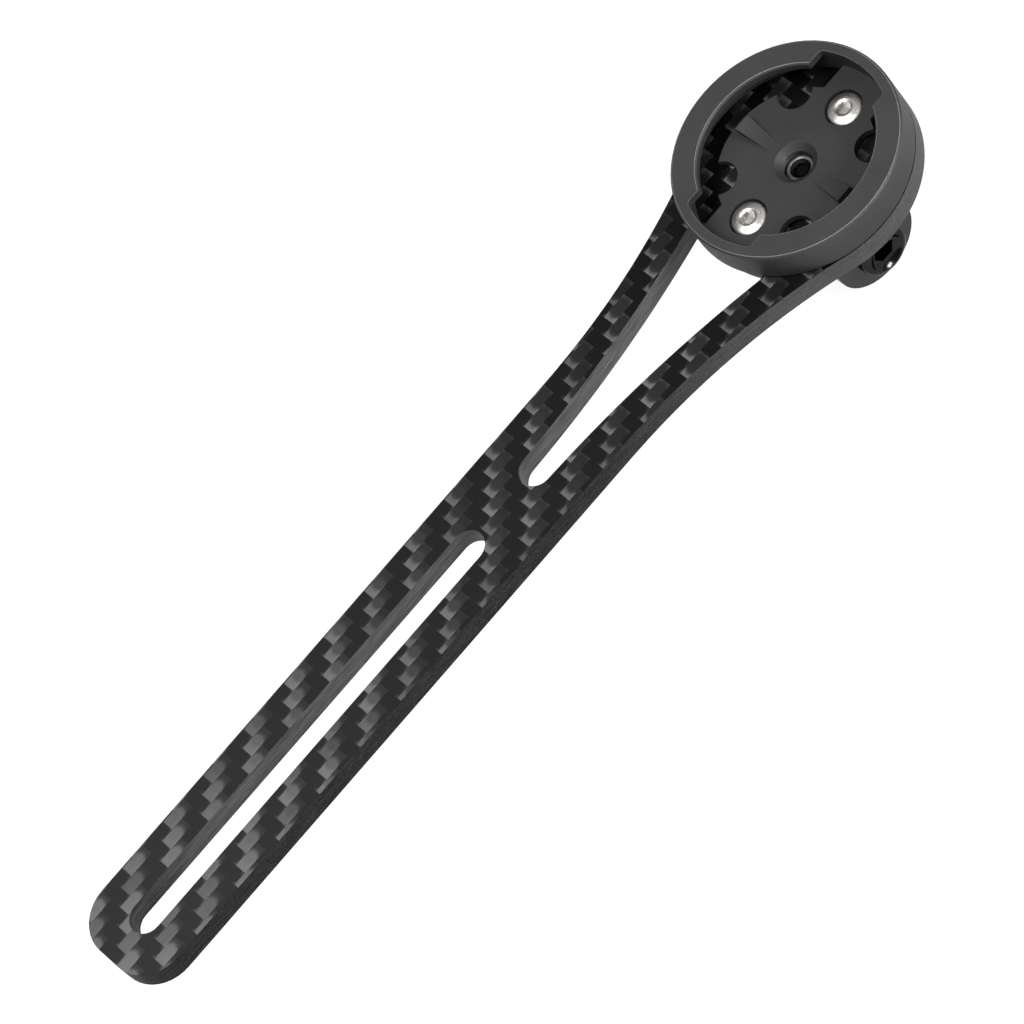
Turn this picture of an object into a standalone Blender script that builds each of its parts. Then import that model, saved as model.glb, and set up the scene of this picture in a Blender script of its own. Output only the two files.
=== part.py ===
"""Out-front mount for a cycling computer, with a camera bracket under its head.

A flat carbon-fibre plate runs forward from the stem. Two bolts pass through
its long slot. Past a solid web the plate splits into two prongs that carry a
round head. A moulded quarter-turn seat stands on the head and a three-prong
camera bracket hangs below it, and three screws hold the stack together.

Frame: the origin is on the plate's top face, in the middle of the solid web.
+Y runs along the arm towards the head, +Z is up out of the plate's top face
and +X is to the right. Blender units are metres.
"""
import math

import bmesh
import bpy
from mathutils import Matrix, Vector

MM = 0.001

# ---------------------------------------------------------------- clearances
REST_GAP = 0.20 * MM          # between two faces that rest on each other
BORE_GAP = 0.20 * MM          # radial, between a fastener and its hole

# ----------------------------------------------------------------- arm plate
PLATE_T = 3.60 * MM
ARM_W = 18.2 * MM
ARM_END_Y = -86.6 * MM        # where the arm's rounded end stops
ARM_CORNER_R = 6.8 * MM
HEAD_Y = 66.4 * MM            # head centre, ahead of the web's middle
FLARE_START_Y = 18.1 * MM     # where the straight sides start to flare out
WEB_L = 9.6 * MM              # solid web between the slot and the vee
SLOT_W = 5.5 * MM             # lets an M5 bolt slide
SLOT_END_BAR = 5.4 * MM       # material left beyond the slot's far end
VEE_END_R = 2.8 * MM          # round closed end of the vee
VEE_FLARE_R = 209.0 * MM      # the vee's long curved sides
VEE_FLARE_Y = 2.7 * MM        # height of the centres of those sides
VEE_BRIDGE = 2.1 * MM         # plate left between the vee and the screw hole
VEE_TOP_CORNER_R = 1.2 * MM
PLATE_CHAMFER = 0.15 * MM

# ---------------------------------------------------------- quarter-turn seat
LIP_BORE_R = 14.0 * MM        # the computer's round foot drops through here
TAB_REACH = 2.4 * MM          # how far the foot's tabs stand out past it
NOTCH_HALF_W = 6.9 * MM
NOTCH_CORNER_R = 0.8 * MM
NOTCH_LAND = 0.2 * MM         # lip left on the wall behind each notch
SEAT_WALL = 1.6 * MM
SEAT_H = 5.7 * MM             # ring top above the plate
SEAT_EDGE = 0.3 * MM          # chamfer on the ring's top edges
LIP_T = 1.4 * MM
FLOOR_TOP = 1.5 * MM          # floor's top face above the plate
UNDERCUT = 1.45 * MM          # floor's round edge, inside the lip's bore
EAR_HALF_W = 5.05 * MM        # the two bridges that join floor and ring
SCALLOP_R = 2.8 * MM
SCALLOP_INSET = 0.6 * MM      # scallop centres, inside the floor's edge
SCALLOP_ANGLE = 44.7          # degrees from X
DISH_R = 3.45 * MM
DISH_DEPTH = 1.0 * MM
DISH_HOLE_R = 2.35 * MM
RAMP_IN_X = 4.5 * MM          # the ramps rise from here
RAMP_INSET = 1.25 * MM        # to here, inside the floor's edge
RAMP_IN_HALF_W = 0.85 * MM
RAMP_OUT_HALF_W = 1.4 * MM
RAMP_H = 1.4 * MM
BOSS_WALL = 0.95 * MM         # around the floor's two counterbores

# ------------------------------------------------------------- seat screws M3
SEAT_SCREW_Y = 10.7 * MM      # either side of the head's centre
M3_R = 1.5 * MM
M3_HEAD_R = 2.85 * MM
M3_HEAD_H = 1.65 * MM
M3_HEX_AF = 2.0 * MM
M3_HEX_DEPTH = 1.0 * MM
M3_ENGAGE = 6.35 * MM         # screw tip below the bracket's top face
M3_INSERT_WALL = 0.7 * MM
M3_INSERT_L = 4.6 * MM

# ---------------------------------------------------------- centre screw M2.5
M25_R = 1.25 * MM
M25_HEAD_R = 2.2 * MM
M25_HEAD_H = 1.5 * MM
M25_HEX_AF = 2.0 * MM
M25_HEX_DEPTH = 0.8 * MM
M25_ENGAGE = 2.5 * MM         # screw tip below the bracket's top face
M25_SINK = 0.3 * MM           # head top below the plate's top face
M25_INSERT_WALL = 0.6 * MM
M25_INSERT_L = 2.4 * MM

# ------------------------------------------------------------- camera bracket
BASE_T = 3.4 * MM
BASE_OVERHANG = 0.7 * MM      # past the outer prongs, each side
BASE_END_WALL = 1.1 * MM      # past the screw pillars, each end
PILLAR_WALL = 1.1 * MM        # around the thread inserts
PILLAR_DROP = 2.4 * MM        # the screw pillars' length below the base
PRONG_T = 2.8 * MM
PRONG_GAP = 3.1 * MM
PRONG_R = 7.5 * MM
PIVOT_DROP = 13.1 * MM        # pivot axis below the plate's underside
NUT_BOSS_WALL = 1.0 * MM      # around the nut's corners

# ----------------------------------------------------------- camera screw M5
M5_R = 2.5 * MM
M5_HEAD_R = 4.25 * MM
M5_HEAD_H = 2.7 * MM
M5_HEX_AF = 3.5 * MM
M5_HEX_DEPTH = 1.7 * MM
M5_TIP = 0.6 * MM             # how far the screw stands out past the nut
NUT_AF = 8.0 * MM
NUT_T = 3.9 * MM

# ---------------------------------------------- what follows from the above
NOTCH_R = LIP_BORE_R + TAB_REACH
RING_INNER_R = NOTCH_R + NOTCH_LAND
SEAT_R = RING_INNER_R + SEAT_WALL
HEAD_R = SEAT_R
FLOOR_R = LIP_BORE_R - UNDERCUT
RAMP_OUT_X = FLOOR_R - RAMP_INSET
BOSS_R = M3_HEAD_R + BORE_GAP + BOSS_WALL
VEE_TOP_R = SEAT_SCREW_Y + BOSS_R + BORE_GAP + VEE_BRIDGE
PLATE_BOTTOM = -PLATE_T
BASE_TOP = PLATE_BOTTOM - REST_GAP
BASE_BOTTOM = BASE_TOP - BASE_T
PIVOT_Z = PLATE_BOTTOM - PIVOT_DROP
PRONG_PITCH = PRONG_T + PRONG_GAP
PRONG_OUT_X = PRONG_PITCH + PRONG_T / 2
NUT_BOSS_X = -PRONG_OUT_X - NUT_T - 2 * REST_GAP
BASE_HALF_W = PRONG_OUT_X + BASE_OVERHANG
PILLAR_R = M3_R + BORE_GAP + M3_INSERT_WALL + BORE_GAP + PILLAR_WALL
BASE_HALF_L = SEAT_SCREW_Y + PILLAR_R + BASE_END_WALL
LIP_BOTTOM = SEAT_H - LIP_T
HEAD_XY = Vector((0.0, HEAD_Y))
COUNTERBORE_FLOOR = FLOOR_TOP - M3_HEAD_H - REST_GAP
M3_HOLE_R = M3_R + BORE_GAP
M25_SEAT_Z = -M25_SINK - M25_HEAD_H
M25_LENGTH = M25_SEAT_Z - BASE_TOP + M25_ENGAGE
M3_LENGTH = FLOOR_TOP - M3_HEAD_H - BASE_TOP + M3_ENGAGE
OVER = 2.0 * MM               # how far a cutter runs past what it cuts
SINK = 0.6 * MM               # how far joined shapes run into each other


# ------------------------------------------------------------------- helpers
def clear_scene():
    """Remove every object that the file holds."""
    for obj in list(bpy.data.objects):
        bpy.data.objects.remove(obj, do_unlink=True)


def new_collection(name):
    collection = bpy.data.collections.new(name)
    bpy.context.scene.collection.children.link(collection)
    return collection


def principled(name, colour, roughness, metallic=0.0):
    """A Principled material; the colour is linear RGB."""
    material = bpy.data.materials.new(name)
    material.use_nodes = True
    shader = material.node_tree.nodes["Principled BSDF"]
    shader.inputs["Base Color"].default_value = (*colour, 1.0)
    shader.inputs["Roughness"].default_value = roughness
    shader.inputs["Metallic"].default_value = metallic
    return material


def arc(centre, radius, start, end, steps):
    """Points on an arc, both ends included; angles in degrees."""
    points = []
    for step in range(steps + 1):
        angle = math.radians(start + (end - start) * step / steps)
        offset = Vector((math.cos(angle), math.sin(angle))) * radius
        points.append(Vector(centre) + offset)
    return points


def bearing(start, end):
    """Direction from one point to another, in degrees."""
    return math.degrees(math.atan2(end[1] - start[1], end[0] - start[0]))


def meet(centre_a, radius_a, centre_b, radius_b, side):
    """Where two circles cross; side is +1 or -1, left or right of a to b."""
    a, b = Vector(centre_a), Vector(centre_b)
    gap = (b - a).length
    along = (radius_a ** 2 - radius_b ** 2 + gap ** 2) / (2 * gap)
    across = math.sqrt(radius_a ** 2 - along ** 2)
    forward = (b - a).normalized()
    left = Vector((-forward.y, forward.x))
    return a + forward * along + left * across * side


def obround(centre, half_width, half_length, steps):
    """A slot shape that is long in Y."""
    straight = half_length - half_width
    top = arc(centre + Vector((0, straight)), half_width, 0, 180, steps)
    bottom = arc(centre - Vector((0, straight)), half_width, 180, 360, steps)
    return top + bottom


def mirrored_x(points):
    """The same points on the other side of the Y axis, in reverse order."""
    return [Vector((-p.x, p.y)) for p in reversed(points)]


def mirrored_y(points, level=0.0):
    return [Vector((p.x, 2 * level - p.y)) for p in reversed(points)]


def keep(obj, name, collection, material=None):
    """Name an object and move it into one collection."""
    obj.name = name
    obj.data.name = name
    for owner in list(obj.users_collection):
        owner.objects.unlink(obj)
    collection.objects.link(obj)
    if material is not None:
        obj.data.materials.clear()
        obj.data.materials.append(material)
    return obj


def extruded(name, loops, low, high, plane="XY"):
    """A flat outline with holes, made thick from low to high.

    In plane XY the outline's points are (x, y) and it is thick in Z. In
    plane YZ they are (y, z) and it is thick in X.
    """
    curve = bpy.data.curves.new(name, "CURVE")
    curve.dimensions = "2D"
    curve.fill_mode = "BOTH"
    curve.extrude = (high - low) / 2
    for loop in loops:
        spline = curve.splines.new("POLY")
        spline.points.add(len(loop) - 1)
        for point, place in zip(spline.points, loop):
            point.co = (place[0], place[1], 0.0, 1.0)
        spline.use_cyclic_u = True
    guide = bpy.data.objects.new(name + "_outline", curve)
    bpy.context.scene.collection.objects.link(guide)
    bpy.context.view_layer.update()
    graph = bpy.context.evaluated_depsgraph_get()
    mesh = bpy.data.meshes.new_from_object(guide.evaluated_get(graph))
    bpy.data.objects.remove(guide, do_unlink=True)

    shape = bmesh.new()
    shape.from_mesh(mesh)
    bmesh.ops.remove_doubles(shape, verts=shape.verts, dist=1e-6)
    bmesh.ops.translate(shape, verts=shape.verts, vec=(0, 0, (low + high) / 2))
    if plane == "YZ":
        turn = Matrix(((0, 0, 1), (1, 0, 0), (0, 1, 0)))
        bmesh.ops.transform(shape, matrix=turn.to_4x4(), verts=shape.verts)
    bmesh.ops.recalc_face_normals(shape, faces=shape.faces)
    shape.to_mesh(mesh)
    shape.free()
    obj = bpy.data.objects.new(name, mesh)
    bpy.context.scene.collection.objects.link(obj)
    return obj


def turned(name, profile, steps):
    """A profile of (radius, height) points turned about Z by a Screw.

    A profile whose last point is its first is a closed loop, for a ring.
    """
    closed = profile[0] == profile[-1]
    points = profile[:-1] if closed else profile
    edges = [(i, i + 1) for i in range(len(points) - 1)]
    if closed:
        edges.append((len(points) - 1, 0))
    mesh = bpy.data.meshes.new(name)
    mesh.from_pydata([(r, 0.0, z) for r, z in points], edges, [])
    obj = bpy.data.objects.new(name, mesh)
    bpy.context.scene.collection.objects.link(obj)
    screw = obj.modifiers.new("turn", "SCREW")
    screw.steps = steps
    screw.render_steps = steps
    screw.use_merge_vertices = True
    screw.merge_threshold = 1e-6
    screw.use_normal_calculate = False
    return obj


def cylinder(name, radius, low, high, at=(0.0, 0.0), steps=48):
    """A cylinder along Z from low to high, as a cutter or a blank."""
    bpy.ops.mesh.primitive_cylinder_add(
        vertices=steps, radius=radius, depth=high - low,
        location=(at[0], at[1], (low + high) / 2))
    bpy.context.object.name = name
    return bpy.context.object


def x_cylinder(name, radius, low, high, steps=48):
    """A cylinder along X on the camera pivot's axis."""
    bpy.ops.mesh.primitive_cylinder_add(
        vertices=steps, radius=radius, depth=high - low,
        location=((low + high) / 2, HEAD_Y, PIVOT_Z),
        rotation=(0, math.pi / 2, 0))
    bpy.context.object.name = name
    return bpy.context.object


def block(name, low, high):
    """A box between two corners."""
    low, high = Vector(low), Vector(high)
    bpy.ops.mesh.primitive_cube_add(size=1.0, location=(low + high) / 2)
    obj = bpy.context.object
    obj.name = name
    obj.data.transform(Matrix.Diagonal((*(high - low), 1.0)))
    return obj


def combine(target, tool, operation):
    """Cut or join a tool into a target, and keep the tool as a cutter."""
    step = target.modifiers.new(tool.name, "BOOLEAN")
    step.operation = operation
    step.solver = "EXACT"
    step.object = tool
    keep(tool, tool.name, CUTTERS)
    tool.hide_render = True
    tool.display_type = "WIRE"


def cut(target, *tools):
    for tool in tools:
        combine(target, tool, "DIFFERENCE")


def join(target, *tools):
    for tool in tools:
        combine(target, tool, "UNION")


def soften(obj, width, segments=1):
    """Break the sharp edges with a Bevel."""
    bevel = obj.modifiers.new("edges", "BEVEL")
    bevel.width = width
    bevel.segments = segments
    bevel.limit_method = "ANGLE"
    bevel.angle_limit = math.radians(50)


def smooth_sides(obj):
    """Shade round walls smooth and keep their edges sharp."""
    obj.data.shade_smooth()
    obj.data.set_sharp_from_angle(angle=math.radians(35))


def corner_radius(across_flats):
    """Radius to the corners of a hexagon."""
    return across_flats / math.sqrt(3)


# ----------------------------------------------------------------- arm plate
def plate_outline():
    """Arm end, straight sides, flare and round head, as one loop."""
    half = ARM_W / 2
    corner = Vector((half - ARM_CORNER_R, ARM_END_Y + ARM_CORNER_R))
    rise = HEAD_Y - FLARE_START_Y
    # the flare is tangent to the straight side and to the round head
    flare_r = (half ** 2 + rise ** 2 - HEAD_R ** 2) / (2 * (HEAD_R - half))
    flare_centre = Vector((half + flare_r, FLARE_START_Y))
    lean = bearing(flare_centre, HEAD_XY)
    right = arc(corner, ARM_CORNER_R, 270, 360, 10)
    right += arc(flare_centre, flare_r, 180, lean, 14)
    right += arc(HEAD_XY, HEAD_R, lean - 180, 90, 36)[1:]
    return right + mirrored_x(right)[1:]


def slot_outline():
    low = ARM_END_Y + SLOT_END_BAR
    high = -WEB_L / 2
    centre = Vector((0.0, (low + high) / 2))
    return obround(centre, SLOT_W / 2, (high - low) / 2, 12)


def vee_outline():
    """The long opening between the prongs, closed by a round end."""
    end = Vector((0.0, WEB_L / 2 + VEE_END_R))
    reach = VEE_FLARE_R + VEE_END_R
    side_x = math.sqrt(reach ** 2 - (end.y - VEE_FLARE_Y) ** 2)
    side = Vector((side_x, VEE_FLARE_Y))
    corner = meet(HEAD_XY, VEE_TOP_R + VEE_TOP_CORNER_R,
                  side, VEE_FLARE_R + VEE_TOP_CORNER_R, -1)
    leave_end = bearing(end, side)
    join_corner = bearing(side, corner) % 360
    right = arc(end, VEE_END_R, -90, leave_end, 8)
    right += arc(side, VEE_FLARE_R, leave_end + 180, join_corner, 14)[1:]
    right += arc(corner, VEE_TOP_CORNER_R, join_corner - 180,
                 bearing(corner, HEAD_XY), 5)[1:]
    right += arc(HEAD_XY, VEE_TOP_R, bearing(HEAD_XY, corner), -90, 8)[1:]
    return right + mirrored_x(right)[1:-1]


def seat_screw_places():
    """Name and Y of the two seat screws."""
    return (("front", HEAD_Y + SEAT_SCREW_Y), ("rear", HEAD_Y - SEAT_SCREW_Y))


def build_arm_plate(material):
    loops = [plate_outline(), slot_outline(), vee_outline()]
    for _, y in seat_screw_places():
        loops.append(arc((0.0, y), BOSS_R + BORE_GAP, 0, 360, 32)[:-1])
    loops.append(arc(HEAD_XY, M25_R + BORE_GAP, 0, 360, 20)[:-1])
    plate = extruded("arm_plate", loops, PLATE_BOTTOM, 0.0)
    cut(plate, cylinder("centre_counterbore", M25_HEAD_R + 2 * BORE_GAP,
                        M25_SEAT_Z - REST_GAP, OVER, at=HEAD_XY, steps=32))
    soften(plate, PLATE_CHAMFER)
    return keep(plate, "arm_plate", PARTS, material)


# ---------------------------------------------------------- quarter-turn seat
def notch_outline():
    """The keyhole's straight-sided notches, reaching out on +Y and -Y."""
    fillet_x = NOTCH_HALF_W - NOTCH_CORNER_R
    fillet_y = math.sqrt((NOTCH_R - NOTCH_CORNER_R) ** 2 - fillet_x ** 2)
    fillet = Vector((fillet_x, fillet_y))
    lean = bearing((0, 0), fillet)
    corner = arc(fillet, NOTCH_CORNER_R, 0, lean, 4)
    corner += arc((0, 0), NOTCH_R, lean, 90, 8)[1:]
    upper = corner + mirrored_x(corner)[1:]
    loop = upper + mirrored_y(upper)
    return [HEAD_XY + p for p in loop]


def floor_outline():
    """Round floor with four scallops and the two bridges to the ring."""
    scallop = arc((0, 0), FLOOR_R - SCALLOP_INSET, SCALLOP_ANGLE, 90, 1)[0]
    enter = meet((0, 0), FLOOR_R, scallop, SCALLOP_R, -1)
    leave = meet((0, 0), FLOOR_R, scallop, SCALLOP_R, 1)
    ear_root = Vector((EAR_HALF_W, math.sqrt(FLOOR_R ** 2 - EAR_HALF_W ** 2)))
    ear_r = RING_INNER_R + SINK
    ear_tip = Vector((EAR_HALF_W, math.sqrt(ear_r ** 2 - EAR_HALF_W ** 2)))
    quarter = arc((0, 0), FLOOR_R, 0, bearing((0, 0), enter), 8)
    bite_start = bearing(scallop, enter)
    bite_end = bearing(scallop, leave)
    if bite_start < bite_end:
        bite_start += 360
    quarter += arc(scallop, SCALLOP_R, bite_start, bite_end, 12)[1:]
    quarter += arc((0, 0), FLOOR_R, bearing((0, 0), leave),
                   bearing((0, 0), ear_root), 3)[1:]
    quarter += arc((0, 0), ear_r, bearing((0, 0), ear_tip), 90, 6)
    upper = quarter + mirrored_x(quarter)[1:]
    loop = upper + mirrored_y(upper)[1:-1]
    return [HEAD_XY + p for p in loop]


def seat_ring_profile():
    top, edge = SEAT_H, SEAT_EDGE
    return [(LIP_BORE_R + edge, top), (SEAT_R - edge, top),
            (SEAT_R, top - edge), (SEAT_R, REST_GAP),
            (RING_INNER_R, REST_GAP), (RING_INNER_R, LIP_BOTTOM),
            (LIP_BORE_R, LIP_BOTTOM), (LIP_BORE_R, top - edge),
            (LIP_BORE_R + edge, top)]


def dish_cutter():
    """A shallow cone that runs into the floor's centre hole."""
    slope = (DISH_R - DISH_HOLE_R) / DISH_DEPTH
    low = FLOOR_TOP - DISH_DEPTH
    high = FLOOR_TOP + OVER
    profile = [(0, high), (DISH_R + slope * OVER, high),
               (DISH_HOLE_R, low), (DISH_HOLE_R, -OVER), (0, -OVER)]
    tool = turned("seat_dish", profile, 36)
    tool.location = (0, HEAD_Y, 0)
    return tool


def ramp(side):
    """A wedge that rises outwards from the floor, on one side of the dish."""
    root = FLOOR_TOP - SINK
    tool = block("seat_ramp_" + ("right" if side > 0 else "left"),
                 (RAMP_IN_X, -1, root), (RAMP_OUT_X, 1, FLOOR_TOP))
    middle = Vector(tool.location)
    for vertex in tool.data.vertices:
        outer = vertex.co.x > 0
        upper = vertex.co.z > 0
        half_w = RAMP_OUT_HALF_W if outer else RAMP_IN_HALF_W
        vertex.co.y = math.copysign(half_w, vertex.co.y)
        if upper:
            vertex.co.z += RAMP_H if outer else -SINK / 8
    if side < 0:
        tool.data.transform(Matrix.Rotation(math.pi, 4, "Z"))
    tool.location = (middle.x * side, HEAD_Y, middle.z)
    return tool


def build_seat(material):
    seat = turned("quarter_turn_seat", seat_ring_profile(), 72)
    seat.location = (0, HEAD_Y, 0)
    cut(seat, extruded("seat_notches", [notch_outline()],
                       LIP_BOTTOM - SINK, SEAT_H + OVER))
    floor_low = REST_GAP + SINK / 4
    join(seat, extruded("seat_floor", [floor_outline()], floor_low, FLOOR_TOP))
    boss_low = PLATE_BOTTOM + REST_GAP
    for name, y in seat_screw_places():
        join(seat, cylinder("seat_boss_" + name, BOSS_R, boss_low,
                            FLOOR_TOP - SINK / 2, at=(0, y), steps=36))
    join(seat, ramp(1), ramp(-1))
    cut(seat, dish_cutter())
    for name, y in seat_screw_places():
        cut(seat,
            cylinder("seat_counterbore_" + name, M3_HEAD_R + BORE_GAP,
                     COUNTERBORE_FLOOR, FLOOR_TOP + OVER, at=(0, y)),
            cylinder("seat_hole_" + name, M3_HOLE_R,
                     boss_low - OVER, FLOOR_TOP, at=(0, y), steps=32))
    return keep(seat, "quarter_turn_seat", PARTS, material)


# ------------------------------------------------------------------ fasteners
def button_head_profile(head_r, head_h, shank_r, length, tip):
    """A domed head with its underside at height 0 and its shank below."""
    rim = head_h * 0.25
    flat_r = head_r * 0.45
    points = [(0.0, head_h)]
    for step in range(7):
        turn = math.radians(90 * step / 6)
        points.append((flat_r + (head_r - flat_r) * math.sin(turn),
                       rim + (head_h - rim) * math.cos(turn)))
    points += [(head_r, 0.0), (shank_r, 0.0), (shank_r, tip - length),
               (shank_r - tip, -length), (0.0, -length)]
    return points


def cap_head_profile(head_r, head_h, shank_r, length, edge):
    """A flat head with a broken rim, its underside at height 0."""
    return [(0.0, head_h), (head_r - edge, head_h), (head_r, head_h - edge),
            (head_r, 0.0), (shank_r, 0.0), (shank_r, edge - length),
            (shank_r - edge, -length), (0.0, -length)]


def hex_socket(name, across_flats, low, high, at=(0.0, 0.0)):
    return cylinder(name, corner_radius(across_flats), low, high, at, 6)


def build_seat_screw(name, y, material):
    screw = turned("seat_screw_" + name, button_head_profile(
        M3_HEAD_R, M3_HEAD_H, M3_R, M3_LENGTH, M3_R / 3), 36)
    screw.location = (0, y, FLOOR_TOP - M3_HEAD_H)
    cut(screw, hex_socket("seat_screw_socket_" + name, M3_HEX_AF,
                          FLOOR_TOP - M3_HEX_DEPTH, FLOOR_TOP + OVER, (0, y)))
    return keep(screw, "seat_screw_" + name, PARTS, material)


def build_centre_screw(material):
    screw = turned("centre_screw", cap_head_profile(
        M25_HEAD_R, M25_HEAD_H, M25_R, M25_LENGTH, M25_R / 4), 28)
    screw.location = (0, HEAD_Y, M25_SEAT_Z)
    cut(screw, hex_socket("centre_screw_socket", M25_HEX_AF,
                          -M25_SINK - M25_HEX_DEPTH, OVER, HEAD_XY))
    return keep(screw, "centre_screw", PARTS, material)


def build_thread_insert(name, bore_r, wall, length, y, material):
    """A brass thread insert, pressed in flush under the bracket's top."""
    top = BASE_TOP - REST_GAP
    out_r = bore_r + wall
    edge = wall / 3
    profile = [(bore_r, top), (out_r - edge, top), (out_r, top - edge),
               (out_r, top - length + edge), (out_r - edge, top - length),
               (bore_r, top - length), (bore_r, top)]
    insert = turned(name, profile, 28)
    insert.location = (0, y, 0)
    return keep(insert, name, PARTS, material)


# ------------------------------------------------------------- camera bracket
def prong_outline():
    """Rounded lobe on the pivot, with straight flanks up into the base."""
    pivot = Vector((HEAD_Y, PIVOT_Z))
    lobe = arc(pivot, PRONG_R, 180, 360, 24)
    top = BASE_BOTTOM + SINK
    return lobe + [Vector((HEAD_Y + PRONG_R, top)),
                   Vector((HEAD_Y - PRONG_R, top))]


def prong_gap(side):
    """The space for one finger of the camera's foot, as a cutter."""
    inner = side * PRONG_T / 2
    outer = side * (PRONG_T / 2 + PRONG_GAP)
    reach = PRONG_R + OVER
    return block("finger_gap_" + ("right" if side > 0 else "left"),
                 (min(inner, outer), HEAD_Y - reach, PIVOT_Z - reach),
                 (max(inner, outer), HEAD_Y + reach, BASE_BOTTOM))


def insert_pocket(name, bore_r, wall, length, y, tip_z=0.0):
    """Room for a thread insert, deep enough for the screw's tip too."""
    radius = bore_r + wall + BORE_GAP
    low = min(BASE_TOP - REST_GAP - length, tip_z) - REST_GAP
    return cylinder(name, radius, low, BASE_TOP + OVER, at=(0, y), steps=32)


def build_camera_bracket(material):
    base = extruded("camera_bracket",
                    [obround(HEAD_XY, BASE_HALF_W, BASE_HALF_L, 16)],
                    BASE_BOTTOM, BASE_TOP)
    for name, y in seat_screw_places():
        join(base, cylinder("bracket_pillar_" + name, PILLAR_R,
                            BASE_BOTTOM - PILLAR_DROP, BASE_TOP - SINK,
                            at=(0, y), steps=36))
    join(base, extruded("bracket_prongs", [prong_outline()],
                        -PRONG_OUT_X, PRONG_OUT_X, plane="YZ"))
    cut(base, prong_gap(1), prong_gap(-1))
    join(base, x_cylinder("bracket_nut_boss",
                          corner_radius(NUT_AF + 2 * BORE_GAP) + NUT_BOSS_WALL,
                          NUT_BOSS_X, SINK - PRONG_OUT_X))
    pocket = x_cylinder("bracket_nut_pocket",
                        corner_radius(NUT_AF + 2 * BORE_GAP),
                        NUT_BOSS_X - OVER, -PRONG_OUT_X, steps=6)
    cut(base, pocket,
        x_cylinder("bracket_pivot_bore", M5_R + BORE_GAP,
                   NUT_BOSS_X - OVER, PRONG_OUT_X + OVER, steps=36))
    for name, y in seat_screw_places():
        cut(base,
            insert_pocket("bracket_pocket_" + name, M3_HOLE_R,
                          M3_INSERT_WALL, M3_INSERT_L, y),
            cylinder("bracket_relief_" + name, M3_HOLE_R,
                     BASE_BOTTOM - PILLAR_DROP - OVER, BASE_TOP,
                     at=(0, y), steps=28))
    cut(base, insert_pocket("bracket_pocket_centre", M25_R + BORE_GAP,
                            M25_INSERT_WALL, M25_INSERT_L, HEAD_Y,
                            tip_z=M25_SEAT_Z - M25_LENGTH))
    return keep(base, "camera_bracket", PARTS, material)


def build_camera_screw(material):
    """The M5 pivot screw; its origin is on the axis it slides along."""
    under_head = PRONG_OUT_X + REST_GAP
    tip_x = NUT_BOSS_X - M5_TIP
    screw = turned("camera_screw", cap_head_profile(
        M5_HEAD_R, M5_HEAD_H, M5_R, under_head - tip_x, M5_R / 5), 40)
    screw.rotation_euler = (0, math.pi / 2, 0)
    screw.location = (under_head, HEAD_Y, PIVOT_Z)
    face = under_head + M5_HEAD_H
    cut(screw, x_cylinder("camera_screw_socket", corner_radius(M5_HEX_AF),
                          face - M5_HEX_DEPTH, face + OVER, steps=6))
    return keep(screw, "camera_screw", PARTS, material)


def build_camera_nut(material):
    high = -PRONG_OUT_X - REST_GAP
    nut = x_cylinder("camera_nut", corner_radius(NUT_AF),
                     high - NUT_T, high, steps=6)
    cut(nut, x_cylinder("camera_nut_bore", M5_R + BORE_GAP,
                        high - NUT_T - OVER, high + OVER, steps=36))
    return keep(nut, "camera_nut", PARTS, material)


# ---------------------------------------------------------------------- build
def build():
    carbon = principled("carbon_twill", (0.022, 0.022, 0.023), 0.35)
    nylon = principled("moulded_nylon", (0.055, 0.055, 0.056), 0.55)
    stainless = principled("stainless_steel", (0.62, 0.61, 0.59), 0.25, 1.0)
    black_steel = principled("blackened_steel", (0.02, 0.02, 0.02), 0.3, 0.8)
    brass = principled("brass", (0.70, 0.50, 0.22), 0.35, 1.0)
    gloss = principled("gloss_nylon", (0.02, 0.02, 0.02), 0.3)

    build_arm_plate(carbon)
    build_seat(nylon)
    for name, y in seat_screw_places():
        build_seat_screw(name, y, stainless)
        build_thread_insert("thread_insert_" + name, M3_HOLE_R,
                            M3_INSERT_WALL, M3_INSERT_L, y, brass)
    build_centre_screw(black_steel)
    build_thread_insert("thread_insert_centre", M25_R + BORE_GAP,
                        M25_INSERT_WALL, M25_INSERT_L, HEAD_Y, brass)
    build_camera_bracket(gloss)
    build_camera_screw(black_steel)
    build_camera_nut(stainless)
    for obj in PARTS.objects:
        smooth_sides(obj)


clear_scene()
PARTS = new_collection("computer_mount")
CUTTERS = new_collection("cutters")
build()
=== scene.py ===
# %% [markdown]
# # An out-front computer mount, finished
#
# The object is a flat carbon-fibre arm that bolts under a bicycle's stem. Its head carries a
# round quarter-turn seat for a cycling computer, and a three-finger camera bracket hangs below.
# The solids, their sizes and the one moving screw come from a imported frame. This lesson keeps
# every size and gives the parts their real edges, threads and surfaces.

# %% Load the fixed frame
import math

import bpy
from mathutils import Matrix, Vector


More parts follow.
